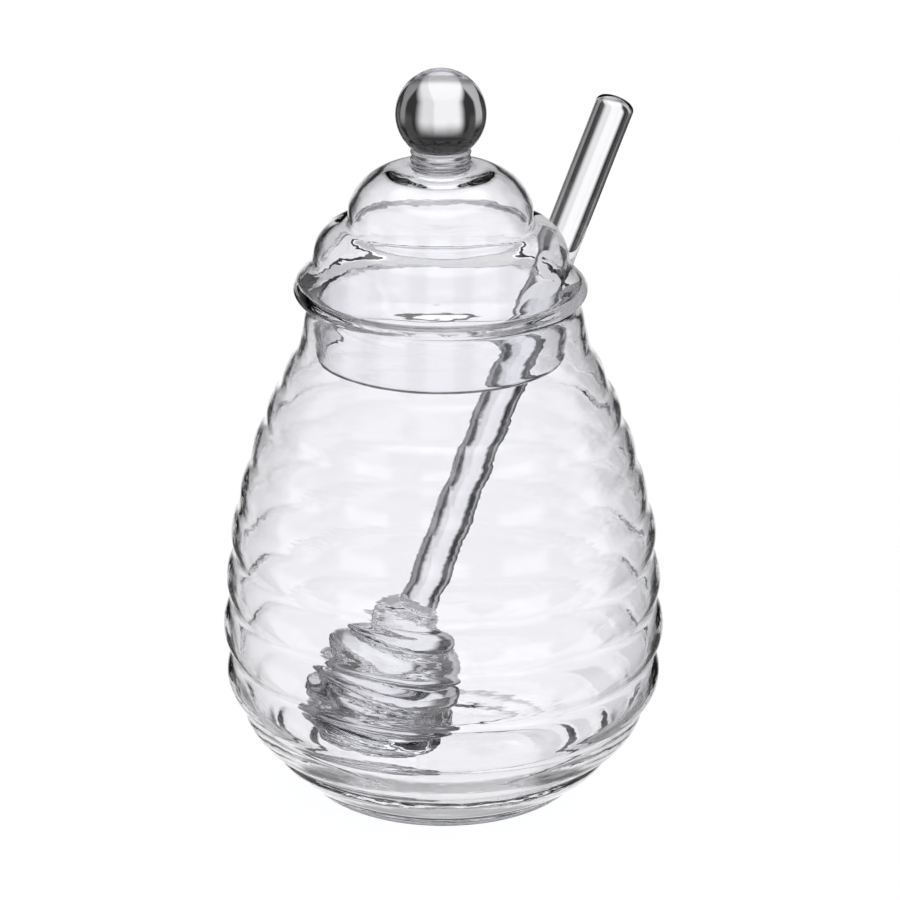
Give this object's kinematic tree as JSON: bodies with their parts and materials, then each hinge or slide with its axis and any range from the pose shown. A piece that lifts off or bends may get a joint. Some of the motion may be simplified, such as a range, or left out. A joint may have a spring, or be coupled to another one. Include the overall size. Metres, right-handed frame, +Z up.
{
  "type": "honey jar with dipper",
  "caption": "Clear glass honey jar with a ribbed beehive body, a stepped domed lid with a ball knob and a glass dipper leaning out through a notch in the lid.",
  "frame": {"origin": "centre of the jar's flat base, on the surface it stands on", "axes": "+Z up along the jar's axis; +X is the side that the dipper's rod leans towards; -Y is the front, as the picture shows it"},
  "size_m": [0.0948, 0.0948, 0.1578],
  "materials": {
    "jar_glass": "clear blown glass, fire-polished",
    "lid_glass": "clear blown glass, fire-polished",
    "dipper_glass": "clear solid glass, flame-worked"
  },
  "bodies": {
    "root": {"jar": "jar_glass", "lid": "lid_glass", "dipper": "dipper_glass"}
  },
  "joints": []
}
